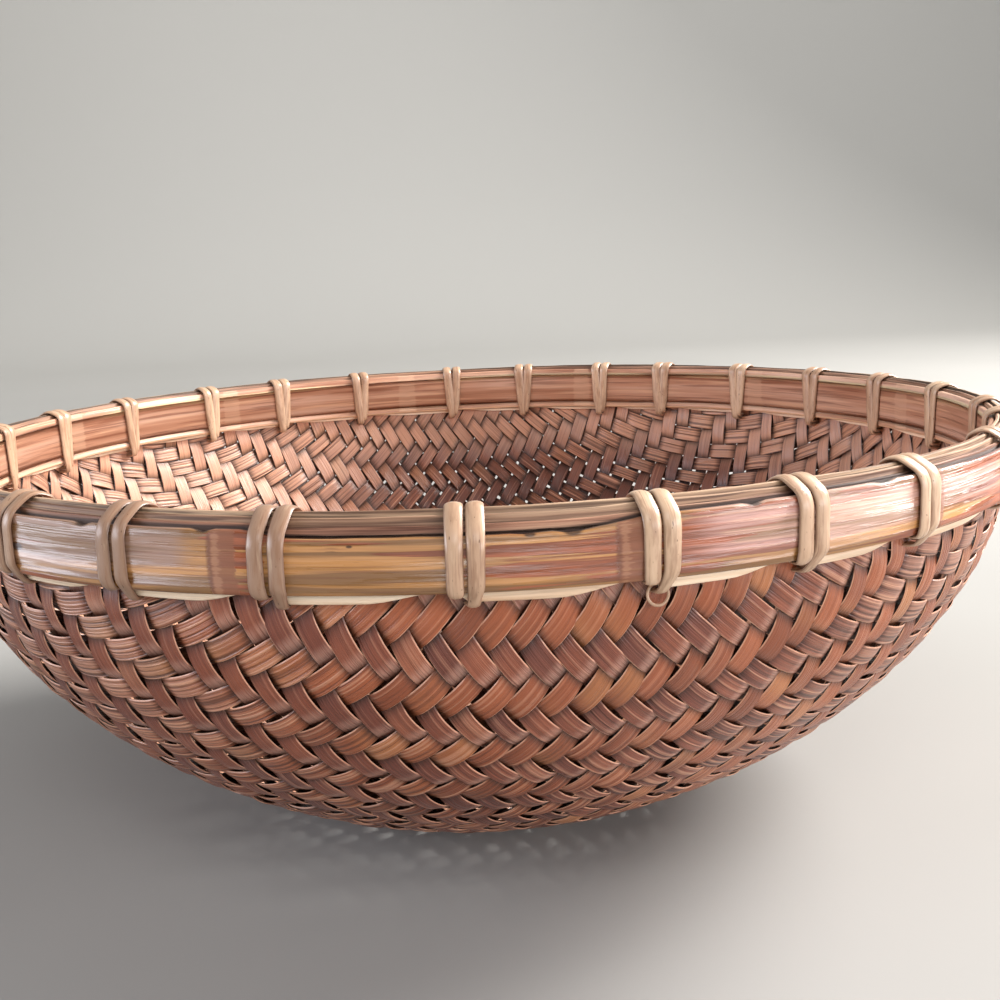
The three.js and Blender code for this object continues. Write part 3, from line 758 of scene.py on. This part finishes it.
def unevenness(azimuth, wavelength, seed):
    """A smooth wobble between about -1 and 1 that closes round the ring."""
    return noise.noise(on_circle(azimuth, RIM_RADIUS / wavelength, seed * 7.3)) * 1.6


def front_dip(azimuth):
    """1 where the outer hoop and the strips behind it sit low at the front, 0 elsewhere."""
    signed = (azimuth + 180) % 360 - 180
    return float(smooth(signed, -17, -13.5) * (1 - smooth(signed, 7, 13)))


def swell(azimuth, centre, reach):
    """1 at the centre, falling away within a few times its reach, all in degrees."""
    return math.exp(-(degrees_apart(azimuth, centre) / reach) ** 2)


def node_ridges(azimuth, nodes, reach):
    return sum(swell(azimuth, node, reach) for node in nodes)


def hoop_lift(azimuth):
    """How far the outer hoop's top edge lies above its plain height."""
    wave = 0.2 * unevenness(azimuth, 0.07, 2) + 0.8 * swell(azimuth, 27, 13)
    return wave * MM - HOOP_DIP * front_dip(azimuth)


def outer_hoop():
    finish = outer_hoop_finish(
        straw=tone(170, 122, 74), stain=tone(143, 78, 48), dark=tone(52, 28, 18),
        red_patches=((6.5, 0.015, 0.01, 0.06), (-17, 0.005, 0.003, 0.12), (15.5, 0.004, 0.008, 0.04)),
        straw_patches=(
            (-8, 0.019, 0.01, 0.07), (22, 0.014, 0.012, 0.04), (34, 0.026, 0.012, 0.08), (-34, 0.044, 0.014, 0.2),
        ),
        # Scuffs, partly a painted sheen: pale at the right front, grey at the left front
        scuffs_and_sheen=(
            (26, 0.030, 0.016, 0.6, tone(206, 166, 158)), (43, 0.02, 0.016, 0.7, tone(142, 98, 96)),
            (-35, 0.045, 0.008, 0.6, tone(146, 124, 122)),
        ),
    )

    def shape(azimuth, radius, height):
        share = (radius - outer_hoop_inside) / OUTER_HOOP_THICKNESS
        level = (height - outer_hoop_bottom) / OUTER_HOOP_HEIGHT
        ridge = 0.3 * node_ridges(azimuth, OUTER_HOOP_NODES, 0.55)
        out = (0.12 * unevenness(azimuth, 0.05, 1) + ridge - 0.4 * (2 * level - 1) ** 2) * share * MM
        up = 0.12 * unevenness(azimuth, 0.011, 8) * MM * (level > 0.8)
        up -= 0.8 * MM * float(smooth(1 - level, 0.4, 1)) * swell(azimuth, 328, 14)
        for mark, down, reach in HOOP_MARKS:
            if down < DEEPEST_CHIP and level > 0.9:
                up -= CHIP_DEPTH * swell(azimuth, mark % 360, math.degrees(reach / RIM_RADIUS))
        return out, up + hoop_lift(azimuth) * float(smooth(level, 0.4, 1))

    mesh = ring_mesh(
        "outer_hoop", outer_hoop_inside, RIM_RADIUS, outer_hoop_bottom, outer_hoop_top, 1.05 * MM, shape,
        bulge=OUTER_HOOP_BULGE,
    )
    add_piece("outer_bamboo_hoop", mesh, finish, "outer_hoop", "outer_hoop")


def inner_hoop():
    def shape(azimuth, radius, height):
        share = 1 - (radius - inner_hoop_inside) / INNER_HOOP_THICKNESS
        ridge = 0.25 * node_ridges(azimuth, INNER_HOOP_NODES, 0.6)
        out = -(0.1 * unevenness(azimuth, 0.05, 3) + ridge) * share * MM
        return out, 0.25 * unevenness(azimuth, 0.06, 4) * MM

    mesh = ring_mesh(
        "inner_hoop", inner_hoop_inside, inner_hoop_outside, inner_hoop_bottom, inner_hoop_top, 0.7 * MM, shape,
        bulge_inside=0.35 * MM,
    )
    add_piece("inner_bamboo_hoop", mesh, inner_hoop_finish(), "inner_hoop", "inner_hoop")


def rim_fillers():
    tones = (
        (tone(190, 148, 120), tone(158, 112, 88), tone(96, 58, 42)),
        (tone(188, 156, 128), tone(162, 126, 100), tone(104, 72, 54)),
        (tone(196, 166, 136), tone(170, 138, 110), tone(112, 82, 62)),
        (tone(188, 152, 124), tone(160, 122, 98), tone(104, 70, 52)),
    )
    slack = 0.14 * MM
    last = len(FILLER_DROPS) - 1
    for index, drop in enumerate(FILLER_DROPS):
        outside = fillers_outside - index * filler_pitch - slack
        inside = outside - FILLER_THICKNESS + 2 * slack
        # The gap inside each filler but the last gets painted shade
        shaded_gaps = (inside,) if index < last else ()
        finish = thin_strip_finish(f"rim filler {index + 1}", *tones[index], 0.6, shaded_gaps)

        def shape(azimuth, radius, height, seed=index + 10, dip=FILLER_DIPS[index]):
            up = (0.25 * unevenness(azimuth, 0.045, seed) + 0.12 * unevenness(azimuth, 0.012, seed + 20)) * MM
            up -= dip * front_dip(azimuth)
            return 0.06 * unevenness(azimuth, 0.03, seed + 40) * MM, up * (height > filler_bottom + 2 * MM)

        def shadow(azimuth, height, first=index == 0):
            over = height - outer_hoop_top - hoop_lift(azimuth)
            return first * float(1 - smooth(over, 0.25 * MM, 0.75 * MM))

        mesh = ring_mesh(
            f"rim_filler_{index + 1}", inside, outside, filler_bottom, RIM_HEIGHT - drop, 0.4 * MM, shape,
            cuts=2 if index else 8, shadow=shadow,
        )
        add_piece(f"rim_filler_strip_{index + 1}", mesh, finish, "fillers", f"rim_filler_{index + 1}")


def past_lashing(azimuth):
    """How far an azimuth lies from one lashing to the next, 0 to 1, counted between their nearest straps."""
    half = math.degrees((TURN_PITCH + CANE_WIDTH) / 2 / RIM_RADIUS)
    places = sorted(place % 360 for place in LASHING_AZIMUTHS)
    after = [place for place in places if place > azimuth] or [places[0] + 360]
    before = [place for place in places if place <= azimuth] or [places[-1] - 360]
    start, end = before[-1] + half, after[0] - half
    return min(max((azimuth - start) / (end - start), 0), 1) if azimuth < after[0] - half * 0.2 else 1.0


def lower_edge(strip_bottom, hoop_bottom, start, end, climb, low, wobble, seed):
    """Shape of a lower strip, in mm: its edge hangs low after each lashing and climbs towards the next one."""
    def shape(azimuth, radius, height):
        rise = float(smooth(past_lashing(azimuth), start, end)) * climb + low
        rise += wobble * unevenness(azimuth, 0.04, seed)
        still = hoop_bottom + 2 * MM
        return 0.0, rise * MM * max((still - height) / (still - strip_bottom), 0)
    return shape


def lower_strips():
    pale = tone(252, 234, 210), tone(246, 220, 190), tone(224, 188, 154)
    finish = thin_strip_finish("pale lower strip", *pale, 0.45, lines=0.25)
    for side, inside, outside, bottom, rounding, shape in (
        (
            "outer", outer_strip_inside, outer_strip_outside, outer_strip_bottom, 1.1 * MM,
            lower_edge(outer_strip_bottom, outer_hoop_bottom, 0.45, 1.05, 3.3, -0.8, 0.25, 5),
        ),
        (
            "inner", inner_strip_inside, inner_strip_inside + INNER_STRIP_THICKNESS, inner_strip_bottom, 0.3 * MM,
            lower_edge(inner_strip_bottom, inner_hoop_bottom, 0.4, 1.0, 1.3, 0, 0.2, 6),
        ),
    ):
        name = f"{side}_lower_strip"
        mesh = ring_mesh(name, inside, outside, bottom, bottom + STRIP_HEIGHT, rounding, shape, cuts=4)
        add_piece(f"{side}_lower_cane", mesh, finish, "lower_strips", name)


# Lashings

def over_the_top(azimuth):
    """Corners of the rim's section that a tight strip touches, from outside over the fillers to the inside."""
    edge = outer_hoop_top + hoop_lift(azimuth)
    corners = [
        (RIM_RADIUS, edge - 2.8 * MM), (RIM_RADIUS - 1.4 * MM, edge), (outer_hoop_inside + 0.3 * MM, edge),
    ]
    for index, drop in enumerate(FILLER_DROPS):
        outside = fillers_outside - index * filler_pitch
        top = RIM_HEIGHT - drop - FILLER_DIPS[index] * front_dip(azimuth)
        corners += [(outside, top), (outside - FILLER_THICKNESS, top)]
    corners.append((inner_hoop_inside, inner_hoop_top - 0.4 * MM))
    touched = []
    for corner in corners:
        while len(touched) > 1:
            (r1, z1), (r2, z2), (r3, z3) = touched[-2], touched[-1], corner
            if (r2 - r1) * (z3 - z2) - (z2 - z1) * (r3 - r2) > 0:
                break
            touched.pop()
        touched.append(corner)
    return touched


def lashing_line(luck, azimuth):
    """Centre line of one lashing, as radius, height and place across: two turns, apart outside only."""
    off = 0.2 * MM + CANE_THICKNESS / 2
    outside = RIM_RADIUS + off
    inside = inner_hoop_inside - off
    low = min(outer_strip_bottom, inner_strip_bottom) - off
    touched = np.array(over_the_top(azimuth))
    slope = touched[2:] - touched[:-2]
    slope /= np.hypot(*slope.T)[:, None]
    top_bends = touched[1:-1] + np.column_stack((slope[:, 1], -slope[:, 0])) * (off + 0.2 * MM)
    shoulder = outer_hoop_top + hoop_lift(azimuth) - 2.4 * MM
    half = TURN_PITCH * luck.uniform(0.98, 1.1) / 2
    lean = luck.uniform(-0.1, 0.5, 2) * MM
    meet = luck.uniform(-0.3, 0.3) * MM
    tuck = outer_hoop_bottom - off
    keys = [
        (outer_strip_inside + 1.2 * MM, tuck, -half + 0.3 * MM), (outside - 1.2 * MM, tuck, -half + 0.1 * MM),
    ]

    def over(across, inside_radius, bottom, across_low):
        keys.append((outside, outer_hoop_bottom + 2.2 * MM, across - 0.2 * MM))
        keys.append((outside, shoulder, across))
        keys.extend((radius, height, across) for radius, height in top_bends)
        keys.append((inside_radius, inner_hoop_top + off * 0.8, across))
        keys.append((inside_radius, bottom, across_low))

    over(-half + lean[0] / 2, inside, low, meet - 0.6 * MM)
    keys.append((outer_strip_outside - 0.4 * MM, low + 0.4 * MM, half - 1.1 * MM))
    over(half + lean[1] / 2, inside - 0.25 * MM, low - 1.5 * MM, meet + 0.9 * MM)
    keys.append((wall_top_outside - WALL_THICKNESS, low - 1.5 * MM, meet + 0.9 * MM))
    keys = np.array(keys)
    reach = np.concatenate(((0,), np.cumsum(np.hypot(*np.diff(keys[:, :2], axis=0).T))))
    run = np.arange(0, reach[-1], 0.45 * MM)
    line = np.column_stack([np.interp(run, reach, column) for column in keys.T])
    for _ in range(10):
        line[1:-1] = (line[:-2] + 2 * line[1:-1] + line[2:]) / 4
    return line[::3]


def cane_layers(bm):
    """The UV map and the vertex values that the cane's finish reads."""
    layers = bm.verts.layers
    return bm.loops.layers.uv.new("OFBake"), layers.float_vector.new("place"), layers.float.new("tone_and_shade")


def lashing(number, azimuth, finish, luck):
    """A strip of cane laid along its stations: a flat grid rolled into a closed tube, turned to its azimuth."""
    line = lashing_line(luck, azimuth)
    heading = np.gradient(line[:, :2], axis=0)
    heading /= np.hypot(*heading.T)[:, None]
    run = np.concatenate(((0,), np.cumsum(np.hypot(*np.diff(line[:, :2], axis=0).T))))
    width = CANE_WIDTH * luck.uniform(0.93, 1.05)
    wave = luck.uniform(0, 2 * math.pi)
    # Painted shade: darker the nearer the lashing lies to azimuth 335, a random tone elsewhere
    tone_and_shade_value = min(luck.uniform(0.5, 0.95), max(0.05, (degrees_apart(azimuth, 335) - 8) / 25))
    steps, sides = len(line) - 1, len(CANE_SECTION) - 1
    bm = bmesh.new()
    corner = Matrix.Translation((0.5, 0.5, 0))
    bmesh.ops.create_grid(bm, x_segments=steps, y_segments=sides, size=0.5, matrix=corner)
    grid, place, tone_and_shade = cane_layers(bm)
    for face in bm.faces:
        face.smooth = True
        for loop in face.loops:
            loop[grid].uv = (0.02 + 0.96 * loop.vert.co.x, 0.05 + 0.9 * loop.vert.co.y)
    for vert in bm.verts:
        step, side = round(vert.co.x * steps), round(vert.co.y * sides)
        radius, height, across = line[step]
        drawn = 1 - 0.22 * float(smooth(outer_hoop_bottom + 1.5 * MM - height, 0, 4 * MM))
        aside = width * drawn * (1 + 0.05 * math.sin(run[step] * 190 + wave)) * CANE_SECTION[side, 0]
        out = CANE_THICKNESS * CANE_SECTION[side, 1]
        vert[place] = (run[step], CANE_SECTION[side, 0] * 2, number)
        vert[tone_and_shade] = tone_and_shade_value
        vert.co = (across + aside, -(radius + out * heading[step, 1]), height - out * heading[step, 0])
    bmesh.ops.remove_doubles(bm, verts=bm.verts, dist=1e-7)
    close_ends(bm, sides)
    turn = Matrix.Rotation(math.radians(azimuth), 3, "Z")
    bmesh.ops.rotate(bm, verts=bm.verts, cent=(0, 0, 0), matrix=turn)
    mesh = mesh_from(bm, f"lashing_{number:02d}")
    mesh.set_sharp_from_angle(angle=math.radians(62))
    add_piece(f"cane_lashing_{number:02d}", mesh, finish, "cane", f"lashing_{number:02d}")


def lashings():
    finish = cane_finish()
    luck = np.random.default_rng(5)
    for number, azimuth in enumerate(LASHING_AZIMUTHS, 1):
        lashing(number, azimuth, finish, luck)
    cane_end(LASHING_AZIMUTHS[1] + 0.2, 2, finish)


def cane_end(azimuth, number, finish):
    """The loose end of one lashing, split thin and curled into a small loop on the wall under the hoop."""
    bm = bmesh.new()
    start = Matrix.Translation((LOOP_RADIUS, 0, 0)) @ Matrix.Rotation(math.pi / 2, 4, "X")
    bmesh.ops.create_circle(bm, radius=LOOP_CANE_RADIUS, segments=8, matrix=start)
    around = bm.verts[:] + bm.edges[:]
    bmesh.ops.spin(bm, geom=around, cent=(0, 0, 0), axis=(0, 0, 1), angle=LOOP_TURN, steps=36)
    close_ends(bm, 8)
    grid, place, tone_and_shade = cane_layers(bm)
    for vert in bm.verts:
        turn = math.atan2(vert.co.y, vert.co.x) % (2 * math.pi)
        vert[place] = (turn * LOOP_RADIUS, vert.co.z / (0.6 * MM), number)
        vert[tone_and_shade] = 0.9
    for face in bm.faces:
        face.smooth = len(face.verts) == 4
        middle = face.calc_center_median()
        turn = math.atan2(middle.y, middle.x) % (2 * math.pi)
        for loop in face.loops:
            away = loop.vert.co - LOOP_RADIUS * Vector((math.cos(turn), math.sin(turn), 0))
            loop[grid].uv = (turn / 6.5 + 0.3 * away.y, 0.5 + 300 * away.z)
    wall = np.interp(outer_strip_bottom - 3.5 * MM, wall_height[BASE_STEPS:], wall_radius[BASE_STEPS:])
    seat = on_circle(azimuth, float(wall) + 2.2 * MM, outer_strip_bottom - 2.6 * MM)
    lie = Matrix.Rotation(math.radians(azimuth), 4, "Z") @ Matrix.Rotation(math.pi / 2 - WALL_TOP_LEAN, 4, "X")
    lie = lie @ Matrix.Rotation(math.radians(112), 4, "Z")
    bmesh.ops.transform(bm, verts=bm.verts, matrix=Matrix.Translation(seat) @ lie)
    add_piece("loose_cane_end", mesh_from(bm, "cane_end"), finish, "cane", f"lashing_{number:02d}")


# Floor, light and camera

def floor():
    """A pale floor that curves up behind the basket into a plain wall, its tone painted darker near the basket and
    paler far off to even out its light.
    """
    curve_start, curve_radius = 2.4, 1.6
    finish = Finish("pale floor", Specular_IOR_Level=0.2)
    here = finish.here()
    mottle = finish.noise(here, 3.0, 0.5, 2.0)
    # Painted light: darker near the basket, where the lamps light the floor most, paler far off, where they light
    # it least
    near = finish.blend(finish.between(mottle, 0.3, 0.7), tone(152, 151, 148), tone(158, 157, 154))
    colour = finish.blend(finish.between(finish.length(here), 0.8, 3.4), near, tone(206, 205, 201))
    bm = bmesh.new()
    bmesh.ops.create_grid(bm, x_segments=8, y_segments=120, size=6)
    for vert in bm.verts:
        past = vert.co.y - curve_start
        turn = min(max(past / curve_radius, 0), math.pi / 2)
        if turn > 0:
            rest = max(past - curve_radius * math.pi / 2, 0)
            vert.co.y = curve_start + curve_radius * math.sin(turn)
            vert.co.z = curve_radius * (1 - math.cos(turn)) + 3 * rest
    for face in bm.faces:
        face.smooth = True
    mesh = mesh_from(bm, "floor")
    mesh.materials.append(finish.done(colour, 0.75, finish.bump(mottle, 0.0002, 0.1)))
    stage = bpy.data.objects.new("floor", mesh)
    scene.collection.objects.link(stage)


def soft_panel(name, place, aim, width, height, power, colour):
    lamp = bpy.data.lights.new(name, "AREA")
    lamp.shape = "RECTANGLE"
    lamp.size, lamp.size_y = width, height
    lamp.energy = power
    lamp.color = colour
    panel = bpy.data.objects.new(name, lamp)
    panel.location = place
    panel.rotation_euler = (Vector(aim) - Vector(place)).to_track_quat("-Z", "Y").to_euler()
    scene.collection.objects.link(panel)


def studio():
    """Soft light: a sky that is brighter behind the basket than before it, and five panels."""
    world = bpy.data.worlds.new("studio")
    scene.world = world
    world.use_nodes = True
    nodes, links = world.node_tree.nodes, world.node_tree.links
    way = nodes.new("ShaderNodeTexCoord")
    parts = nodes.new("ShaderNodeSeparateXYZ")
    fade = nodes.new("ShaderNodeMapRange")
    mix = nodes.new("ShaderNodeMix")
    mix.data_type = "RGBA"
    fade.inputs["From Min"].default_value = -0.6
    fade.inputs["From Max"].default_value = 0.5
    mix.inputs[6].default_value = (0.17, 0.168, 0.165, 1)
    mix.inputs[7].default_value = (0.64, 0.625, 0.585, 1)
    links.new(way.outputs["Generated"], parts.inputs[0])
    links.new(parts.outputs[1], fade.inputs["Value"])
    links.new(fade.outputs[0], mix.inputs[0])
    links.new(mix.outputs[2], nodes["Background"].inputs["Color"])
    soft_panel("right_window", (1.65, 0.6, 1.4), (0, 0, 0.1), 1.1, 1.1, 126, (1.0, 0.97, 0.94))
    soft_panel("right_card", (1.5, -1.25, 0.5), (0, 0, 0.14), 2.0, 0.6, 29, (1.0, 0.96, 0.98))
    soft_panel("left_card", (-1.9, -0.4, 0.58), (0, 0, 0.14), 1.7, 0.8, 28, (0.84, 0.88, 1.0))
    soft_panel("front_panel", (0.1, -1.7, 1.6), (0, 0, 0.1), 1.0, 0.8, 13, (1.0, 0.99, 0.98))
    soft_panel("back_wash", (0, 1.6, 2.6), (0, 4, 1.2), 3.5, 1.0, 30, (1.0, 0.99, 0.97))
    scene.view_settings.view_transform = "Standard"


def camera():
    """Where the photograph was taken from: just above the rim, close up, a little turned and tipped."""
    data = bpy.data.cameras.new("camera")
    data.sensor_width, data.lens = 36, 44.83
    data.clip_start, data.clip_end = 0.01, 60
    eye = bpy.data.objects.new("camera", data)
    scene.collection.objects.link(eye)
    turn = (
        Matrix.Rotation(-math.radians(1.012), 4, "Z")
        @ Matrix.Rotation(math.pi / 2 - 0.1924, 4, "X")
        @ Matrix.Rotation(-0.042, 4, "Z")
    )
    eye.matrix_world = Matrix.Translation((0, -510.3 * MM, 213.07 * MM)) @ turn
    scene.camera = eye


camera()
studio()
floor()
woven_bowl()
outer_hoop()
inner_hoop()
rim_fillers()
lower_strips()
lashings()
